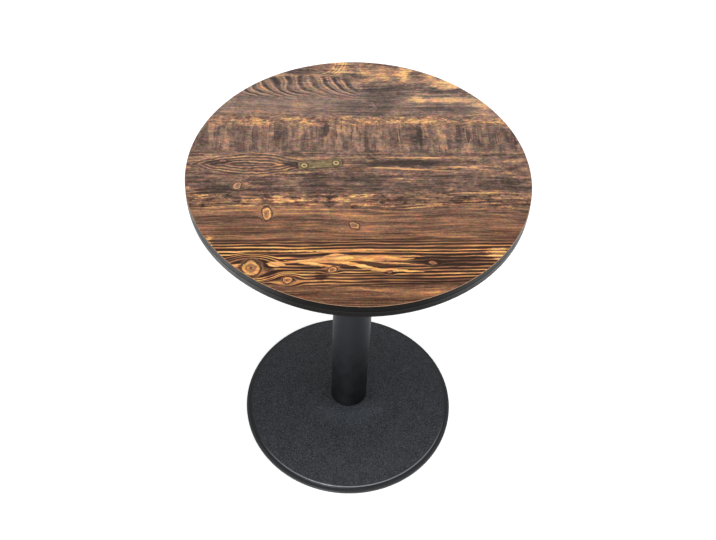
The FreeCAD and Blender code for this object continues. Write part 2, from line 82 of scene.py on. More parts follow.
class Graph:
    """Short calls that add shader nodes to one material and join them."""

    def __init__(self, material):
        material.use_nodes = True
        self.tree = material.node_tree
        self.tree.nodes.clear()

    def add(self, kind, **settings):
        node = self.tree.nodes.new(kind)
        for key, value in settings.items():
            setattr(node, key, value)
        return node

    def feed(self, socket, value):
        """Joins a socket to another, or sets its own value."""
        if isinstance(value, bpy.types.NodeSocket):
            self.tree.links.new(value, socket)
        elif value is not None:
            socket.default_value = value

    def math(self, operation, a, b=None, c=None):
        node = self.add("ShaderNodeMath", operation=operation)
        for socket, value in zip(node.inputs, (a, b, c)):
            self.feed(socket, value)
        return node.outputs[0]

    def plus(self, *values):
        total = values[0]
        for value in values[1:]:
            total = self.math("ADD", total, value)
        return total

    def minus(self, a, b):
        return self.math("SUBTRACT", a, b)

    def times(self, *values):
        product = values[0]
        for value in values[1:]:
            product = self.math("MULTIPLY", product, value)
        return product

    def most(self, a, b):
        return self.math("MAXIMUM", a, b)

    def step(self, value, low, high, out_low=0.0, out_high=1.0):
        """A smooth step from out_low, where value is at low, to out_high, where it is at high."""
        node = self.add("ShaderNodeMapRange", interpolation_type="SMOOTHSTEP", clamp=True)
        for socket, number in zip(node.inputs, (value, low, high, out_low, out_high)):
            self.feed(socket, number)
        return node.outputs[0]

    def span(self, noise, out_low, out_high):
        """A noise spread from out_low to out_high."""
        return self.step(noise, NOISE_LOW, NOISE_HIGH, out_low, out_high)

    def crests(self, phase, sharpness):
        """Crests of 1 along a phase with 0 between them, narrower the sharper they are."""
        wave = self.math("MULTIPLY_ADD", self.math("COSINE", phase), 0.5, 0.5)
        return self.math("POWER", wave, sharpness)

    def vector(self, x, y, z=0.0):
        node = self.add("ShaderNodeCombineXYZ")
        for socket, value in zip(node.inputs, (x, y, z)):
            self.feed(socket, value)
        return node.outputs[0]

    def noise(self, vector, detail=2.0, roughness=0.5, scale=1.0):
        """Noise with its middle at 0.5."""
        node = self.add("ShaderNodeTexNoise", noise_dimensions="3D")
        self.feed(node.inputs["Vector"], vector)
        self.feed(node.inputs["Scale"], scale)
        self.feed(node.inputs["Detail"], detail)
        self.feed(node.inputs["Roughness"], roughness)
        return node.outputs["Fac"]

    def mix(self, share, a, b, blend="MIX"):
        """Colour a where share is 0, and b where it is 1."""
        node = self.add("ShaderNodeMix", data_type="RGBA", blend_type=blend, clamp_factor=True)
        for socket, value in zip((node.inputs[0], node.inputs[6], node.inputs[7]), (share, a, b)):
            self.feed(socket, value)
        return node.outputs[2]

    def ramp(self, value, stops):
        """Colours along a value, from (position, colour) stops."""
        node = self.add("ShaderNodeValToRGB")
        elements = node.color_ramp.elements
        while len(elements) < len(stops):
            elements.new(0.5)
        for element, (position, colour) in zip(elements, stops):
            element.position = position
            element.color = colour
        self.feed(node.inputs[0], value)
        return node.outputs[0]

    def offsets(self, u, v, middle, halves):
        """How far a place is from a middle both ways, in half sizes."""
        du = self.math("MULTIPLY_ADD", u, 1 / halves[0], -middle[0] / halves[0])
        dv = self.math("MULTIPLY_ADD", v, 1 / halves[1], -middle[1] / halves[1])
        return du, dv

    def away(self, u, v, middle, halves):
        """How far a place is from the middle of an ellipse, squared: 0 there, and 1 on the ellipse."""
        du, dv = self.offsets(u, v, middle, halves)
        return self.math("MULTIPLY_ADD", du, du, self.times(dv, dv))

    def spot(self, u, v, middle, halves):
        """1 in the middle of an ellipse, falling smoothly to 0 at its edge."""
        return self.step(self.away(u, v, middle, halves), 1.0, 0.0)

    def radius(self, x, y):
        """How far a place is from the axis."""
        return self.math("SQRT", self.plus(self.times(x, x), self.times(y, y)))

    def channels(self, colour):
        """The three channels of a colour."""
        split = self.add("ShaderNodeSeparateColor")
        self.feed(split.inputs[0], colour)
        return split.outputs[0], split.outputs[1], split.outputs[2]

    def bump(self, height, distance, strength=1.0):
        node = self.add("ShaderNodeBump")
        self.feed(node.inputs["Strength"], strength)
        self.feed(node.inputs["Distance"], distance)
        self.feed(node.inputs["Height"], height)
        return node.outputs["Normal"]

    def place(self):
        """The surface point in the object's own frame, in millimetres, as x, y and z."""
        node = self.add("ShaderNodeSeparateXYZ")
        scaled = self.add("ShaderNodeVectorMath", operation="SCALE")
        self.feed(scaled.inputs[0], self.add("ShaderNodeTexCoord").outputs["Object"])
        self.feed(scaled.inputs["Scale"], 1 / MM)
        self.feed(node.inputs[0], scaled.outputs[0])
        return node.outputs[0], node.outputs[1], node.outputs[2]

    def surface(self, **inputs):
        """A Principled surface. A keyword names its socket, with underscores for spaces."""
        shader = self.add("ShaderNodeBsdfPrincipled")
        for key, value in inputs.items():
            self.feed(shader.inputs[key.replace("_", " ")], value)
        output = self.add("ShaderNodeOutputMaterial")
        self.feed(output.inputs["Surface"], shader.outputs[0])


def srgb(red, green, blue):
    """A colour written in screen values from 0 to 255, as the shader's linear one."""
    def linear(value):
        share = value / 255
        return share / 12.92 if share <= 0.04045 else ((share + 0.055) / 1.055) ** 2.4
    return (linear(red), linear(green), linear(blue), 1.0)


# Stage

def make_camera():
    data = bpy.data.cameras.new("camera")
    data.sensor_width = SENSOR_WIDTH_MM
    data.lens = FOCAL_PX / IMAGE_WIDTH_PX * SENSOR_WIDTH_MM
    camera = bpy.data.objects.new("camera", data)
    bpy.context.scene.collection.objects.link(camera)
    place = Vector((CAMERA_DISTANCE * math.sin(CAMERA_AZIMUTH), -CAMERA_DISTANCE * math.cos(CAMERA_AZIMUTH),
                    CAMERA_HEIGHT))
    heading = Matrix.Rotation(CAMERA_AZIMUTH + CAMERA_YAW, 4, "Z")
    pitch = Matrix.Rotation(math.pi / 2 - CAMERA_PITCH, 4, "X")
    roll = Matrix.Rotation(CAMERA_ROLL, 4, "Z")
    camera.matrix_world = Matrix.Translation(place) @ heading @ pitch @ roll
    bpy.context.scene.camera = camera


def make_floor():
    """A pale floor that looks white, and keeps the table's shadow."""
    mesh = bpy.data.meshes.new("floor")
    half = FLOOR_SIZE / 2
    corners = [(-half, -half, 0), (half, -half, 0), (half, half, 0), (-half, half, 0)]
    mesh.from_pydata(corners, [], [(0, 1, 2, 3)])
    floor = bpy.data.objects.new("floor", mesh)
    bpy.context.scene.collection.objects.link(floor)
    material = bpy.data.materials.new("floor")
    mesh.materials.append(material)

    graph = Graph(material)
    diffuse = graph.add("ShaderNodeBsdfDiffuse")
    diffuse.inputs["Color"].default_value = FLOOR_COLOUR
    glow = graph.add("ShaderNodeEmission")
    path = graph.add("ShaderNodeLightPath")
    direct = graph.times(path.outputs["Is Camera Ray"], FLOOR_GLOW_SEEN)
    along, across, _ = graph.place()
    sheen = FLOOR_GLOW_MIRRORED
    for middle_x, middle_y, half_x, half_y, strength in FLOOR_SHEENS:
        near = graph.spot(along, across, (middle_x, middle_y), (half_x, half_y))
        sheen = graph.math("MULTIPLY_ADD", near, strength, sheen)
    mirrored = graph.times(path.outputs["Is Glossy Ray"], sheen)
    graph.feed(glow.inputs["Strength"], graph.plus(direct, mirrored))
    total = graph.add("ShaderNodeAddShader")
    graph.feed(total.inputs[0], diffuse.outputs[0])
    graph.feed(total.inputs[1], glow.outputs[0])
    output = graph.add("ShaderNodeOutputMaterial")
    graph.feed(output.inputs["Surface"], total.outputs[0])


def make_world():
    """A world that the camera sees as white, and that lights the table less than that."""
    world = bpy.data.worlds.new("studio")
    bpy.context.scene.world = world
    world.use_nodes = True
    tree = world.node_tree
    tree.nodes.clear()
    background = tree.nodes.new("ShaderNodeBackground")
    background.inputs["Color"].default_value = WHITE
    path = tree.nodes.new("ShaderNodeLightPath")
    strength = tree.nodes.new("ShaderNodeMapRange")
    strength.inputs["To Min"].default_value = WORLD_STRENGTH
    strength.inputs["To Max"].default_value = 1.0
    tree.links.new(path.outputs["Is Camera Ray"], strength.inputs["Value"])
    tree.links.new(strength.outputs[0], background.inputs["Strength"])
    output = tree.nodes.new("ShaderNodeOutputWorld")
    tree.links.new(background.outputs[0], output.inputs["Surface"])


def lamp(name, place, target, width, height, power):
    data = bpy.data.lights.new(name, "AREA")
    data.shape = "RECTANGLE"
    data.size = width
    data.size_y = height
    data.energy = power
    light = bpy.data.objects.new(name, data)
    bpy.context.scene.collection.objects.link(light)
    light.location = place
    light.rotation_euler = (Vector(target) - Vector(place)).to_track_quat("-Z", "Y").to_euler()
    return light


def make_stage():
    make_floor()
    make_world()
    for settings in LAMPS:
        lamp(*settings)
    lamp(*GLOSS_LAMP).visible_diffuse = False


# Finishes

def new_finish(name):
    """A new material, its graph, and the surface point in it."""
    material = bpy.data.materials.new(name)
    g = Graph(material)
    return material, g, g.place()


def edge_finish():
    """Satin black moulding, browner towards its underside."""
    material, g, (x, y, z) = new_finish("edge_moulding")
    mottle = g.noise(g.vector(x, y, z), detail=3.0, scale=0.08)
    fine = g.noise(g.vector(x, y, z), detail=2.0, scale=1.4)
    low = g.step(z, BAND_LOW, BAND_LOW + BAND_BROWN, 1.0, 0.0)
    black = g.mix(mottle, srgb(9, 8, 8), srgb(13, 12, 11))
    g.surface(Base_Color=g.mix(low, black, srgb(18, 11, 8)), Specular_IOR_Level=0.06,
              Roughness=g.span(mottle, 0.26, 0.34), Normal=g.bump(fine, 0.05 * MM, 0.4))
    return material


def column_finish():
    """Satin black powder coat: smooth, with a faint orange peel."""
    material, g, (x, y, z) = new_finish("column_coat")
    peel = g.noise(g.vector(x, y, z), detail=2.0, scale=0.55)
    mottle = g.noise(g.vector(x, y, z), detail=3.0, scale=0.03)
    g.surface(Base_Color=g.mix(mottle, srgb(43, 44, 47), srgb(48, 49, 52)), Metallic=1.0,
              Specular_Tint=(0.85, 0.86, 0.88, 1.0), Roughness=g.span(mottle, 0.44, 0.52),
              Normal=g.bump(peel, 0.12 * MM, 0.3))
    return material


def casting_finish():
    """Black textured powder coat: a fine, hard sand grain with lighter tips, smoother on the rim, with a
    painted highlight in front of the column's foot, a painted highlight along the front of the dome's edge,
    and painted shade on the inner part of the ledge."""
    material, g, (x, y, z) = new_finish("textured_coat")
    place = g.vector(x, y, z)
    radius = g.radius(x, y)
    smooth = g.step(radius, RIM_RADIUS - 1.5, RIM_RADIUS)
    grain = g.noise(place, detail=3.0, roughness=0.65, scale=0.42)
    cloud = g.noise(place, detail=2.0, roughness=0.5, scale=0.05)
    tips = g.step(g.plus(grain, centred(g, cloud, 0.05)), 0.40, 0.66)
    glint = g.step(g.noise(place, detail=1.0, scale=0.62), 0.70, 0.78)
    glints = g.times(glint, 0.4)
    speckled = g.mix(glints, g.mix(tips, srgb(23, 25, 28), srgb(68, 71, 77)), srgb(112, 116, 122))
    # Painted highlight: a lighter patch in front of the column's foot, where the dome catches light
    foot_highlight = g.times(g.step(radius, *PAINTED_HIGHLIGHT_RADII), g.step(y, *PAINTED_HIGHLIGHT_FRONT), g.step(z, *PAINTED_HIGHLIGHT_HEIGHTS),
                      PAINTED_HIGHLIGHT_SHARE)
    speckled = g.mix(foot_highlight, speckled, g.mix(tips, srgb(56, 60, 65), srgb(86, 92, 99)))
    # Painted highlight: the dome's edge is lighter and partly metallic along the front, where it catches
    # light
    rim_highlight = g.times(g.step(radius, RIM_RADIUS - 0.7, RIM_RADIUS + 0.1),
                     g.step(radius, RIM_RADIUS + 1.9, RIM_RADIUS + 1.5),
                     g.step(z, RIM_SHELF, RIM_SHELF + 1.5),
                     g.step(g.minus(g.times(x, RIM_HIGHLIGHT_TURN), y), *RIM_HIGHLIGHT_FRONT))
    # Painted shade: the ledge is darker on its inner part, next to the cove, and lighter on its outer part
    painted_ledge_light = g.step(radius, RIM_RADIUS + 4.6, RIM_RADIUS + 7.0)
    smooth_coat_and_painted_light = g.mix(rim_highlight, g.mix(painted_ledge_light, srgb(29, 31, 33), srgb(50, 52, 55)), srgb(120, 123, 128))
    g.surface(Base_Color=g.mix(smooth, speckled, smooth_coat_and_painted_light), Specular_IOR_Level=0.24,
              Roughness=g.step(smooth, 0.0, 1.0, 0.6, 0.42), Metallic=g.times(rim_highlight, 0.5),
              Normal=g.bump(grain, 0.9 * MM, g.minus(0.6, g.times(smooth, 0.55))))
    return material


def zinc_finish():
    """Bright zinc plating with a faint blue and yellow cast."""
    material, g, (x, y, z) = new_finish("zinc_plate")
    cast = g.noise(g.vector(x, y, z), detail=2.0, scale=0.15)
    scratch = g.noise(g.vector(x, y, g.times(z, 6.0)), detail=3.0, scale=0.9)
    g.surface(Base_Color=g.mix(cast, srgb(196, 197, 196), srgb(208, 203, 186)), Metallic=1.0,
              Roughness=g.span(scratch, 0.28, 0.44), Normal=g.bump(scratch, 0.03 * MM, 0.4))
    return material


def foot_finish():
    """Matt black moulded plastic."""
    material, g, (x, y, z) = new_finish("foot_plastic")
    grain = g.noise(g.vector(x, y, z), detail=2.0, scale=1.2)
    g.surface(Base_Color=g.mix(grain, srgb(26, 26, 27), srgb(36, 36, 37)),
              Roughness=g.span(grain, 0.5, 0.62), Normal=g.bump(grain, 0.06 * MM, 0.4))
    return material


def backing_finish():
    """Dark balancing sheet with the faint web of its paper."""
    material, g, (x, y, z) = new_finish("balancing_sheet")
    web = g.noise(g.vector(g.times(x, 0.35), y, z), detail=4.0, roughness=0.65, scale=0.6)
    cloud = g.noise(g.vector(x, y, z), detail=2.0, scale=0.015)
    tone = g.plus(g.times(web, 0.6), g.times(cloud, 0.4))
    g.surface(Base_Color=g.mix(g.span(tone, 0.0, 1.0), srgb(58, 52, 47), srgb(78, 71, 64)),
              Roughness=g.span(web, 0.6, 0.75), Normal=g.bump(web, 0.06 * MM, 0.4))
    return material


def board_finish():
    """Particle board: pressed chips in several tones."""
    material, g, (x, y, z) = new_finish("particle_board")
    chips = g.noise(g.vector(x, y, g.times(z, 2.5)), detail=4.0, roughness=0.7, scale=0.3)
    tones = [(0.3, srgb(120, 92, 62)), (0.5, srgb(176, 144, 104)), (0.7, srgb(204, 178, 138))]
    g.surface(Base_Color=g.ramp(chips, tones), Roughness=g.span(chips, 0.75, 0.9),
              Normal=g.bump(chips, 0.3 * MM, 0.6))
    return material


# The print on the top. Places are in millimetres from the middle: along the grain, then across it.

# Colours by tone, from burnt to golden, for warm wood and for wood greyed by a painted reflection haze
WARM_TONES = (
    (0.0, srgb(46, 27, 17)), (0.25, srgb(88, 59, 42)), (0.45, srgb(125, 88, 66)),
    (0.62, srgb(167, 115, 76)), (0.82, srgb(222, 157, 90)), (1.0, srgb(246, 194, 117)),
)
COOL_TONES = (
    (0.0, srgb(66, 57, 54)), (0.25, srgb(98, 84, 78)), (0.45, srgb(133, 112, 102)),
    (0.62, srgb(166, 137, 119)), (0.82, srgb(215, 169, 122)), (1.0, srgb(240, 195, 138)),
)
# Tints that drift over the print: blue to orange, and purple to green
HUE_TINTS = ((0.30, (0.84, 0.97, 1.10, 1.0)), (0.5, WHITE), (0.70, (1.18, 0.95, 0.80, 1.0)))
CAST_TINTS = ((0.32, (1.10, 0.92, 1.08, 1.0)), (0.5, WHITE), (0.68, (0.94, 1.07, 0.84, 1.0)))
BEVEL_COLOUR = srgb(178, 138, 106)

# Changes along the way across the grain: place, tone, contrast and greyness. The greyness is a painted
# reflection haze, growing towards the back.
PRINT_ZONES = (
    (-300, 0.36, 0.34, 0.00), (-266, 0.38, 0.34, 0.00), (-256, 0.36, 0.50, 0.00),
    (-166, 0.38, 0.50, 0.05), (-148, 0.42, 0.34, 0.10), (-100, 0.45, 0.36, 0.20),
    (-86, 0.49, 0.62, 0.25), (-62, 0.44, 0.60, 0.35), (-48, 0.37, 0.46, 0.50), (-24, 0.38, 0.46, 0.55),
    (-8, 0.42, 0.55, 0.50), (42, 0.42, 0.52, 0.55), (56, 0.44, 0.46, 0.60), (104, 0.46, 0.46, 0.60),
    (121, 0.57, 0.55, 0.45), (136, 0.52, 0.44, 0.50), (152, 0.48, 0.36, 0.80), (188, 0.49, 0.36, 0.85),
    (205, 0.50, 0.46, 0.85), (250, 0.50, 0.52, 0.65), (300, 0.56, 0.62, 0.50),
)
PRINT_REACH = 300.0
# How strongly the grain shows, and what is taken off the tone to balance it
GRAIN_GAIN = 8.6
TONE_SHIFT = -0.035

# Bands across the grain: where each starts and is full, and where it fades and ends
SAW_BAND = (40.0, 56.0, 108.0, 134.0)
MOTTLED_BAND = (38.0, 54.0, 136.0, 152.0)
BLOCKS_BAND = (-96.0, -84.0, -62.0, -50.0)
FRONT_BAND = (-262.0, -252.0, -172.0, -150.0)

# A calm, dark stretch beside the strap: middle and half sizes
CALM_MIDDLE = (75, 17)
CALM_HALVES = (120, 13)

# Next to nothing of the tone so far is added to a place, so that the shader works the features out
# one by one.
KEEP_ORDER = 1e-6

# Ragged patches: along, across, half length, half width, change of tone
PRINT_PATCHES = (
    (95, 264, 14, 24, 0.40), (40, 257, 36, 10, 0.15), (0, 262, 8, 20, -0.18), (116, 264, 12, 12, -0.20),
    (138, 256, 14, 12, 0.20), (170, 232, 32, 14, 0.50), (170, 214, 54, 8, -0.28),
    (115, 189, 18, 9, 0.34), (180, 188, 54, 9, 0.33), (170, 163, 54, 13, -0.16),
    (246, 173, 30, 13, 0.40), (55, 205, 54, 28, -0.29), (40, 165, 30, 24, -0.21),
    (32, 170, 6, 15, 0.20), (-40, 247, 32, 6, -0.20), (-192, 122, 38, 9, 0.20), (90, 128, 60, 8, 0.14),
    (238, 132, 30, 6, 0.18), (-57, 107, 9, 19, -0.22), (22, 60, 15, 32, -0.16), (110, 90, 8, 32, -0.24),
    (102, 80, 26, 11, -0.12), (186, 90, 10, 32, -0.18), (278, 82, 9, 30, -0.24),
    (-140, 95, 24, 32, -0.09), (72, 95, 13, 21, 0.10), (150, 98, 19, 19, 0.14),
    (-25, 105, 16, 13, 0.08), (-232, 75, 19, 10, 0.08), (-165, -27, 28, 13, -0.20),
    (-255, -48, 30, 13, -0.22), (-222, -55, 11, 17, -0.16), (-82, -30, 26, 15, -0.20),
    (5, -22, 44, 13, -0.18), (260, -30, 18, 19, -0.15), (-130, -72, 22, 6, 0.34),
    (-176, -74, 13, 4, 0.25), (-33, -72, 16, 6, 0.34), (12, -62, 30, 3, 0.30), (-53, -74, 8, 17, -0.30),
    (-155, -75, 9, 15, -0.26), (-25, -102, 20, 13, 0.12), (-60, -98, 11, 11, 0.14),
    (157, -45, 9, 6, 0.30), (158, -72, 32, 17, -0.14), (240, -89, 24, 3, 0.28), (212, 9, 48, 9, 0.22),
    (5, 30, 38, 3, 0.14), (172, 206, 54, 5, -0.06), (143, -208, 60, 15, -0.33),
    (-250, -165, 9, 15, 0.40), (219, -191, 19, 13, 0.52), (150, -122, 110, 30, -0.06),
    (-10, -125, 70, 30, 0.10), (-95, 272, 52, 14, -0.22), (-10, 168, 36, 24, -0.16),
    (60, -74, 60, 16, -0.19), (200, -74, 70, 14, -0.13), (-243, 18, 20, 7, -0.30),
    (72, 17, 88, 9, -0.38), (-113, 14, 17, 6, -0.36), (-240, 20, 5, 3, 0.45), (-67, -238, 12, 9, -0.40),
    (-148, -230, 10, 16, -0.30), (-60, 30, 60, 8, 0.06), (185, -35, 100, 20, -0.11),
    (-205, -122, 56, 32, -0.07), (-112, 122, 28, 18, 0.14), (0, 0, 44, 18, -0.09),
    (246, -4, 20, 14, 0.10), (122, -40, 28, 18, -0.08), (205, -84, 24, 14, -0.09),
    (-88, -84, 44, 16, 0.07), (-120, -122, 28, 20, -0.09), (82, -122, 26, 22, 0.09),
    (-112, -160, 64, 18, 0.10), (148, -160, 56, 18, 0.14), (-58, -243, 64, 16, 0.12),
    (98, -243, 40, 16, -0.12), (228, 78, 40, 24, -0.07),
)
# They fade out this many half sizes from the middle
PATCH_REACH = 1.25

# Flames pointed at both ends, a dark one under golden ones: along, across, half length, half width, slope
# and tone
PRINT_FLAMES = (
    (-4, -212, 116, 9, 0.00, 0.18), (-40, -202, 30, 13, 0.00, 0.92), (-66, -206, 46, 6, 0.05, 0.80),
    (18, -204, 74, 5, 0.02, 0.74), (40, -199, 66, 2.4, 0.02, 0.84), (52, -212, 42, 2.4, -0.07, 0.80),
    (-12, -215, 48, 4.2, -0.23, 0.84), (46, -227, 56, 3.0, -0.06, 0.80),
    (-82, -213, 52, 3.6, -0.16, 0.82), (-138, -214, 16, 7, -0.05, 0.84),
    (-202, -217, 15, 4.5, 0.20, 0.84), (105, 31, 90, 1.8, 0.00, 0.70), (96, 2, 100, 2.2, -0.06, 0.74),
    (-70, -186, 150, 2.4, 0.012, 0.82),
)
# Grain that bows round the flames: along, across, half length, half width, pull
FLAME_BOW = (-15, -207, 170, 30, 0.3)

# Dark cracks across the grain: place along and across the grain, and half sizes
PRINT_CRACKS = (
    (-188, 92, 1.3, 28), (-95, 86, 1.2, 22), (-57, 104, 7, 22), (-11, 92, 1.5, 34), (76, 95, 1.4, 30),
    (112, 92, 4.5, 24), (198, 88, 4, 22), (250, 84, 1.3, 26),
)
CRACK_DEPTH = 0.6

# Knots: along, across, half length, half width, reach of the bowed grain, how golden
PRINT_KNOTS = (
    (-177, -222, 15, 15, 2.4, 1.10), (-119, -248, 8, 7.5, 2.4, 1.0), (-50, -226, 7, 6, 2.0, 1.0),
    (-156, -104, 7, 15, 1.6, 1.1), (-12, -131, 8, 8, 2.0, 0.9), (-207, -40, 8, 7, 2.0, 0.9),
    (112, -211, 6, 4.5, 2.2, 0.8), (42, -231, 4, 3.5, 2.2, 0.9),
)
# How far the bowed grain is drawn out along itself, and how much of its width a knot pulls in
KNOT_STRETCH = 1.5
KNOT_PULL = 0.95
# Tone from a knot's middle outwards, by the share of the way out to the last ring
KNOT_REACH = 1.6
KNOT_RINGS = (
    (0.0, 0.16), (0.09, 0.34), (0.22, 0.62), (0.31, 0.44), (0.42, 0.78), (0.54, 0.70), (0.63, 0.14),
    (0.72, 0.20), (0.82, 0.56), (0.90, 0.26), (1.0, 0.30),
)
# A knot covers the grain fully up to here, and its outline is this uneven, in millimetres
KNOT_FULL = 1.1
KNOT_WOBBLE = 5.5

# Golden year rings along the front: place across the grain, and tone
PRINT_LINES = (
    (-259.0, 0.42), (-253.5, 0.54), (-247.5, 0.60), (-241.0, 0.68), (-234.5, 0.80), (-227.8, 0.80),
    (-221.0, 0.70), (-213.5, 0.62), (-207.0, 0.60), (-200.0, 0.72), (-192.0, 0.72), (-185.2, 0.92),
    (-176.8, 0.68), (-170.2, 0.58), (-164.8, 0.50), (-158.8, 0.44),
)
LINES_LOW = -263.0
LINES_HIGH = -155.0
LINES_SLOPE = 0.0135

# The far left corner, where nested rings come down. Each pair is where it starts and is full: near side, far
# side, and right side.
CORNER_NEAR = (193.0, 198.0)
CORNER_FAR = (262.0, 246.0)
CORNER_RIGHT = (20.0, -20.0)
# Its rings: where they run out, how far they have swept to the right there, the height over which the sweep
# dies away, and their spacing
FINGERS_FOOT = 195.0
FINGERS_SWEEP = 61.0
FINGERS_FALL = 15.7
FINGERS_PITCH = 23.0

# Rings about a point on the far edge: middle and spacing. Each pair is where they start and are full: inner
# radius, outer radius, and left end.
SWIRL_MIDDLE = (-75, 300)
SWIRL_PITCH = 6.5
SWIRL_INNER = (30.0, 40.0)
SWIRL_OUTER = (66.0, 58.0)
SWIRL_LEFT = (-95.0, -60.0)

# The long eye at the left: middle, half sizes, rings in one half size, and where its edge starts and is full
EYE_MIDDLE = (-188.0, 13.0)
EYE_HALVES = (105.0, 25.0)
EYE_RINGS = 3.7
EYE_EDGE = (1.25, 0.95)

# The strap: middle, slope, half sizes, how far its dark outline reaches past it, and its nails
STRAP_MIDDLE = (-66.0, 22.0)
STRAP_SLOPE = 0.12
STRAP_HALVES = (38.0, 9.0)
STRAP_OUTLINE = 2.0
NAIL_PLACES = (-28.0, 28.0)
NAIL_RADIUS = 7.0
# Colours of the worn strap by a noise, and of a nail's head from its middle outwards
STRAP_COLOURS = ((0.32, srgb(86, 72, 52)), (0.5, srgb(122, 106, 76)), (0.68, srgb(158, 138, 98)))
NAIL_COLOURS = (
    (0.0, srgb(96, 74, 52)), (0.35, srgb(126, 100, 68)), (0.55, srgb(206, 180, 130)),
    (0.8, srgb(150, 126, 86)), (0.98, srgb(46, 35, 27)),
)


def streak(g, u, v, length, width, seed, detail=3.0, roughness=0.55):
    """Noise drawn out to a length along the grain and a width across it."""
    return g.noise(g.vector(g.times(u, 1 / length), g.times(v, 1 / width), seed), detail, roughness)


def centred(g, value, spread):
    """A noise value about 0 instead of 0.5, times twice the spread."""
    return g.math("MULTIPLY_ADD", value, 2 * spread, -spread)


def band(g, place, start, full, fade, end):
    """1 within a band, falling smoothly to 0 on both sides."""
    return g.times(g.step(place, start, full), g.step(place, end, fade))


def flow_of_grain(g, u, v):
    """The place across the grain, bowed round the knots and the flames, and the same bent by slow waves."""
    bows = [(along, across, half_u * reach * KNOT_STRETCH, half_v * reach, KNOT_PULL)
            for along, across, half_u, half_v, reach, _ in PRINT_KNOTS]
    bows.append(FLAME_BOW)
    bowed = v
    for along, across, half_u, half_v, pull in bows:
        near = g.spot(u, v, (along, across), (half_u, half_v))
        bowed = g.minus(bowed, g.times(near, g.minus(v, across), pull))
    slow = centred(g, streak(g, u, v, length=210.0, width=60.0, seed=1.5, detail=1.0), 9.0)
    quick = centred(g, streak(g, u, v, length=60.0, width=22.0, seed=4.5, detail=1.0), 2.4)
    return bowed, g.plus(bowed, g.plus(slow, quick))


def zones(g, v):
    """Tone, contrast and painted reflection haze by the place across the grain."""
    share = g.math("MULTIPLY_ADD", v, 0.5 / PRINT_REACH, 0.5)
    stops = [((place + PRINT_REACH) / (2 * PRINT_REACH), (tone, contrast, painted_haze, 1.0))
             for place, tone, contrast, painted_haze in PRINT_ZONES]
    return g.channels(g.ramp(share, stops))


def golden_lines(g, u, bowed):
    """Broken golden year rings on dark wood, as a tone."""
    sloped = g.times(u, -LINES_SLOPE)
    bent = centred(g, streak(g, u, bowed, length=75.0, width=16.0, seed=8.5, detail=2.0), 3.4)
    place = g.plus(bowed, sloped, bent)
    reach = LINES_HIGH - LINES_LOW
    share = g.math("MULTIPLY_ADD", place, 1 / reach, -LINES_LOW / reach)
    stops = []
    before = LINES_LOW
    for across, tone in PRINT_LINES:
        stops.append((((before + across) / 2 - LINES_LOW) / reach, (0.0, tone, 0.0, 1.0)))
        stops.append(((across - LINES_LOW) / reach, (1.0, tone, 0.0, 1.0)))
        before = across
    wave, tone, _ = g.channels(g.ramp(share, stops))
    broken = streak(g, u, bowed, length=70.0, width=5.0, seed=2.5)
    strength = g.step(broken, 0.32, 0.62, 0.55, 1.15)
    left = g.step(u, -40.0, -170.0, 1.0, 1.22)
    return g.plus(g.times(g.step(wave, 0.30, 0.88), tone, strength, left), -0.01)


def fingers(g, u, v):
    """Nested rings that come down steeply and sweep off to the right, as a change of tone."""
    bent_v = g.plus(v, centred(g, streak(g, u, v, length=40.0, width=30.0, seed=6.5, detail=2.0), 3.0))
    height = g.minus(bent_v, FINGERS_FOOT)
    sweep = g.times(g.math("EXPONENT", g.times(height, -1 / FINGERS_FALL)), FINGERS_SWEEP)
    swept = g.minus(u, sweep)
    wobble = streak(g, u, v, length=50.0, width=50.0, seed=16.5, detail=2.0, roughness=0.45)
    line = g.plus(swept, centred(g, wobble, 20.0))
    phase = g.times(line, 2 * math.pi / FINGERS_PITCH)
    pale = g.crests(phase, 5.0)
    second = g.crests(g.plus(phase, 2.2), 9.0)
    pale = g.plus(pale, g.times(second, 0.55))
    dark = g.crests(g.minus(phase, 1.9), 2.0)
    cloud = streak(g, u, v, length=24.0, width=24.0, seed=17.5, detail=2.0)
    faded = g.step(cloud, 0.35, 0.62, 0.4, 1.15)
    return g.times(faded, g.plus(g.times(pale, 0.40), g.times(dark, -0.28), -0.12))


def swirl(g, u, v):
    """Golden rings about a point on the far edge, as a change of tone."""
    away = g.math("SQRT", g.away(u, v, SWIRL_MIDDLE, (1.0, 1.0)))
    bent = g.plus(away, centred(g, streak(g, u, v, length=12.0, width=12.0, seed=18.5, detail=2.0), 4.0))
    rings = g.math("COSINE", g.times(bent, 2 * math.pi / SWIRL_PITCH))
    reach = g.times(g.step(bent, *SWIRL_INNER), g.step(bent, *SWIRL_OUTER), g.step(u, *SWIRL_LEFT))
    return g.times(reach, g.math("MULTIPLY_ADD", rings, 0.14, 0.16))


def eye(g, u, v):
    """A long eye of nested rings at the left, as a change of tone, and where it is."""
    du, dv = g.offsets(u, v, EYE_MIDDLE, EYE_HALVES)
    bent = centred(g, streak(g, u, v, length=24.0, width=12.0, seed=22.5, detail=2.0), 0.22)
    away = g.plus(g.math("ABSOLUTE", dv), g.times(du, du), bent)
    rings = g.crests(g.times(away, 2 * math.pi * EYE_RINGS), 1.8)
    broken = streak(g, u, v, length=30.0, width=9.0, seed=24.5, detail=2.0)
    strength = g.step(broken, 0.35, 0.6, 0.5, 1.0)
    share = g.step(away, *EYE_EDGE)
    return g.times(share, g.math("MULTIPLY_ADD", g.times(rings, strength), 0.56, -0.18)), share


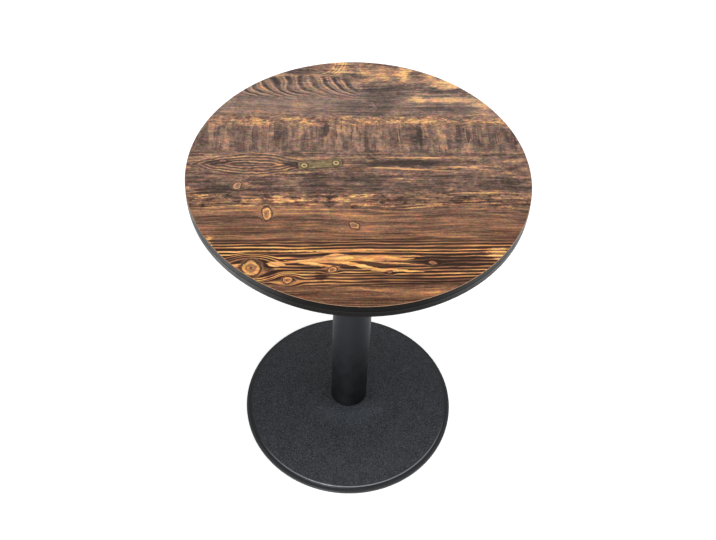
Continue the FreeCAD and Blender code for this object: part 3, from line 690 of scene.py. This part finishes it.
def saw_bars(g, u, v):
    """Smudged bars across the grain, as a rough saw leaves them."""
    wide = streak(g, u, v, length=11.0, width=75.0, seed=3.5, detail=2.0)
    smudge = streak(g, u, v, length=7.0, width=13.0, seed=13.5, roughness=0.6)
    thin = streak(g, u, v, length=2.4, width=30.0, seed=9.5, detail=2.0)
    scratch = streak(g, u, v, length=1.9, width=48.0, seed=12.5, detail=0.0)
    cut = g.times(g.step(scratch, 0.66, 0.72), g.step(wide, 0.40, 0.50))
    return g.plus(g.step(wide, 0.34, 0.66, -0.13, 0.13), centred(g, smudge, 0.20), centred(g, thin, 0.10),
                  g.times(cut, -0.27))


def lens(g, u, v, middle, halves, slope):
    """1 inside a shape pointed at both ends, falling to 0 at its edge."""
    du, dv = g.offsets(u, v, middle, halves)
    dv = g.minus(dv, g.times(du, slope * halves[0] / halves[1]))
    return g.step(g.plus(g.math("ABSOLUTE", dv), g.times(du, du)), 1.0, 0.7)


def add_patches(g, tone, u, v):
    """The tone with the ragged patches in it."""
    after = g.times(tone, KEEP_ORDER)
    u = g.plus(u, after)
    v = g.plus(v, after)
    for along, across, half_u, half_v, change in PRINT_PATCHES:
        shape = g.spot(u, v, (along, across), (half_u * PATCH_REACH, half_v * PATCH_REACH))
        tone = g.math("MULTIPLY_ADD", shape, change, tone)
    return tone


def add_flames(g, tone, u, v, veins):
    """The tone with the flames in it, which the veins run through."""
    for along, across, half_u, half_v, slope, target in PRINT_FLAMES:
        shape = lens(g, u, v, (along, across), (half_u, half_v), slope)
        tone = g.plus(tone, g.times(shape, g.minus(g.plus(g.times(veins, target), target), tone)))
    return tone


def add_cracks(g, tone, u, v):
    """The tone with the cracks in it."""
    for along, across, half_u, half_v in PRINT_CRACKS:
        shape = lens(g, u, v, (along, across), (half_u, half_v), 0.0)
        tone = g.times(tone, g.math("MULTIPLY_ADD", shape, -CRACK_DEPTH, 1.0))
    return tone


def add_knots(g, tone, u, v, crumb, grit):
    """The tone with the knots in it, uneven by the crumb and gritty."""
    grade = [(share, (value, value, value, 1.0)) for share, value in KNOT_RINGS]
    for along, across, half_u, half_v, _, gold in PRINT_KNOTS:
        away = g.plus(g.math("SQRT", g.away(u, v, (along, across), (half_u, half_v))), crumb)
        rings = g.times(g.channels(g.ramp(g.times(away, 1 / KNOT_REACH), grade))[0], gold)
        inside = g.step(away, KNOT_REACH, KNOT_FULL)
        value = g.plus(rings, g.times(g.minus(grit, 0.5), 0.9))
        tone = g.plus(g.times(tone, g.minus(1.0, inside)), g.times(value, inside))
    return tone


def print_tone(g, u, v):
    """How burnt or golden the print is, from 0 to 1, and its painted reflection haze."""
    bowed, flow = flow_of_grain(g, u, v)
    rag = streak(g, u, v, length=15.0, width=6.0, seed=5.5, detail=4.0, roughness=0.65)
    rag_across = streak(g, u, v, length=20.0, width=8.0, seed=7.5, detail=4.0, roughness=0.65)
    ragged_u = g.plus(u, centred(g, rag, 24.0))
    ragged_v = g.plus(v, centred(g, rag_across, 12.0))
    drift = centred(g, streak(g, u, v, length=60.0, width=30.0, seed=11.5), 19.0)
    tone, contrast, painted_haze = zones(g, g.plus(v, drift))

    # The grain: streaks, mixed with a mottle where the wood is rough
    fine = streak(g, u, flow, length=34.0, width=0.9, seed=0.5, roughness=0.6)
    medium = streak(g, u, flow, length=85.0, width=3.2, seed=10.5)
    broad = streak(g, u, flow, length=150.0, width=11.0, seed=20.5)
    grit = streak(g, u, v, length=6.0, width=3.0, seed=30.5, detail=4.0, roughness=0.65)
    blotch = streak(g, u, v, length=17.0, width=9.0, seed=21.5, roughness=0.6)
    pepper = streak(g, u, v, length=3.4, width=2.4, seed=31.5, detail=2.0, roughness=0.6)
    saw = band(g, ragged_v, *SAW_BAND)
    lines = g.plus(golden_lines(g, u, bowed), g.times(g.minus(fine, 0.5), 0.5),
                   g.times(g.minus(broad, 0.5), 0.4), centred(g, pepper, 0.08))
    streaks = g.plus(g.times(fine, 0.37), g.times(medium, 0.36), g.times(broad, 0.27))
    mottle = g.plus(g.times(grit, 0.55), g.times(blotch, 0.45))
    mottled = g.most(g.step(v, -110.0, -30.0, 0.15, 0.40), g.times(band(g, ragged_v, *MOTTLED_BAND), 0.75))
    grain = g.plus(g.times(streaks, g.minus(1.0, mottled)), g.times(mottle, mottled))

    # It is held back where other features take its place
    corner = g.times(g.step(v, *CORNER_NEAR), g.step(ragged_v, *CORNER_FAR), g.step(ragged_u, *CORNER_RIGHT))
    eye_rings, eye_share = eye(g, u, v)
    calm_share = g.spot(ragged_u, ragged_v, CALM_MIDDLE, CALM_HALVES)
    still = g.plus(g.times(saw, 0.55), g.times(corner, 0.5), g.times(eye_share, 0.5),
                   g.times(calm_share, 0.6))
    shown = g.minus(1.0, still)
    tone = g.plus(tone, g.times(g.minus(grain, 0.5), contrast, shown, GRAIN_GAIN), centred(g, pepper, 0.2),
                  TONE_SHIFT)

    # A row of pale and dark blocks, the golden front, the saw marks and the rings
    row = band(g, ragged_v, *BLOCKS_BAND)
    blocks = streak(g, u, v, length=13.0, width=6.0, seed=33.5, roughness=0.6)
    pale = g.times(g.step(blocks, 0.55, 0.66, 0.0, 0.34), g.step(u, 120.0, -40.0, 0.5, 1.0))
    tone = g.plus(tone, g.times(row, g.minus(pale, g.step(blocks, 0.46, 0.36, 0.0, 0.3))))
    front = band(g, ragged_v, *FRONT_BAND)
    tone = g.plus(g.times(tone, g.minus(1.0, front)), g.times(lines, front))
    tone = g.plus(tone, g.times(saw, saw_bars(g, u, v)))
    tone = g.plus(tone, g.times(corner, fingers(g, u, v)), swirl(g, u, v), eye_rings)

    # Single marks
    tone = add_patches(g, tone, ragged_u, ragged_v)
    after = g.times(tone, KEEP_ORDER)
    thin_u = g.plus(u, centred(g, rag, 9.0), after)
    thin_v = g.plus(v, centred(g, rag_across, 4.0), after)
    vein = centred(g, streak(g, u, flow, length=46.0, width=2.6, seed=14.5, roughness=0.6), 0.85)
    tone = add_flames(g, tone, thin_u, thin_v, g.plus(vein, centred(g, grit, 0.25)))
    wander = centred(g, streak(g, u, v, length=40.0, width=30.0, seed=29.5, detail=2.0), 5.0)
    tone = add_cracks(g, tone, g.plus(u, wander, after), thin_v)
    crumb = centred(g, streak(g, u, v, length=4.0, width=4.0, seed=26.5, detail=2.0), 0.18)
    wobble = centred(g, streak(g, u, v, length=17.0, width=17.0, seed=27.5, detail=1.0), KNOT_WOBBLE)
    knot_u = g.plus(u, wobble, after)
    wobble = centred(g, streak(g, u, v, length=17.0, width=17.0, seed=28.5, detail=1.0), KNOT_WOBBLE)
    knot_v = g.plus(v, wobble, after)
    return add_knots(g, tone, knot_u, knot_v, crumb, grit), painted_haze


def old_strap(g, colour, u, v):
    """A plain worn strap with a nail through each end, printed over the boards."""
    crumb = streak(g, u, v, length=3.0, width=3.0, seed=41.5)
    along = g.plus(u, g.times(v, STRAP_SLOPE), -STRAP_MIDDLE[0], centred(g, crumb, 1.2))
    across = g.plus(v, g.times(u, -STRAP_SLOPE), -STRAP_MIDDLE[1],
                    centred(g, streak(g, u, v, length=4.0, width=4.0, seed=43.5), 1.0))

    def plate(grown, soft):
        """1 on the strap, grown by a margin, with a soft edge."""
        half_length = STRAP_HALVES[0] + grown
        half_width = STRAP_HALVES[1] + grown
        return g.times(g.step(g.math("ABSOLUTE", along), half_length + soft, half_length - soft),
                       g.step(g.math("ABSOLUTE", across), half_width + soft, half_width - soft))

    colour = g.mix(g.times(plate(STRAP_OUTLINE, 2.6), 0.75), colour, srgb(44, 34, 27))
    wear = streak(g, u, v, length=9.0, width=3.0, seed=45.5, detail=4.0, roughness=0.65)
    worn = g.ramp(wear, STRAP_COLOURS)
    colour = g.mix(plate(0.0, 1.0), colour, worn)
    for nail in NAIL_PLACES:
        away = g.math("SQRT", g.away(along, across, (nail, 0.0), (NAIL_RADIUS, NAIL_RADIUS)))
        head = g.ramp(away, NAIL_COLOURS)
        colour = g.mix(g.step(away, 1.2, 1.0), colour, head)
    return colour


def print_finish():
    """Satin laminate with a print of rough, burnt boards."""
    material, g, (u, v, _) = new_finish("wood_print")
    tone, painted_haze = print_tone(g, u, v)
    warm = g.ramp(tone, WARM_TONES)
    cool = g.ramp(tone, COOL_TONES)
    after = g.times(tone, KEEP_ORDER)
    hue = streak(g, g.plus(u, after), v, length=15.0, width=7.0, seed=50.5, detail=4.0, roughness=0.65)
    tint = g.ramp(hue, HUE_TINTS)
    # Greyer towards the back: painted reflection haze
    colour = g.mix(1.0, g.mix(painted_haze, warm, cool), tint, "MULTIPLY")
    cast = streak(g, g.plus(u, after), v, length=10.0, width=8.0, seed=54.5, roughness=0.6)
    tint = g.ramp(cast, CAST_TINTS)
    colour = g.mix(1.0, colour, tint, "MULTIPLY")
    colour = old_strap(g, colour, u, v)
    # The place is taken anew, so that the shader does not hold the first one all the way
    x, y, _ = g.place()
    bevel = g.step(g.radius(x, y), BEVEL_RADIUS - 0.05, BEVEL_RADIUS + 0.05)
    colour = g.mix(bevel, colour, BEVEL_COLOUR)
    g.surface(Base_Color=colour, Roughness=g.step(tone, 0.2, 0.8, 0.42, 0.34), Specular_IOR_Level=0.15,
              Normal=g.bump(g.noise(g.vector(u, v), 2.0, scale=0.8), 0.03 * MM, 0.3))
    return material


def dress(finish, *nodes):
    """Gives CAD nodes one finish."""
    for name in nodes:
        materials = NODES[name].data.materials
        materials.clear()
        materials.append(finish)


def dress_all():
    dress(print_finish(), "top_laminate")
    dress(edge_finish(), "edge_band")
    dress(board_finish(), "top_core")
    dress(backing_finish(), "backing_sheet")
    dress(column_finish(), "column_tube")
    dress(casting_finish(), "base_casting", "spider")
    dress(zinc_finish(), "tie_rod", "top_nut", "top_washer", "bottom_nut", "bottom_washer", "spider_screws",
          *[name for name in NODES if name.startswith("glide_stem")])
    dress(foot_finish(), *[name for name in NODES if name.startswith("glide_foot")])


bpy.context.scene.view_settings.view_transform = "Standard"
make_camera()
make_stage()
dress_all()
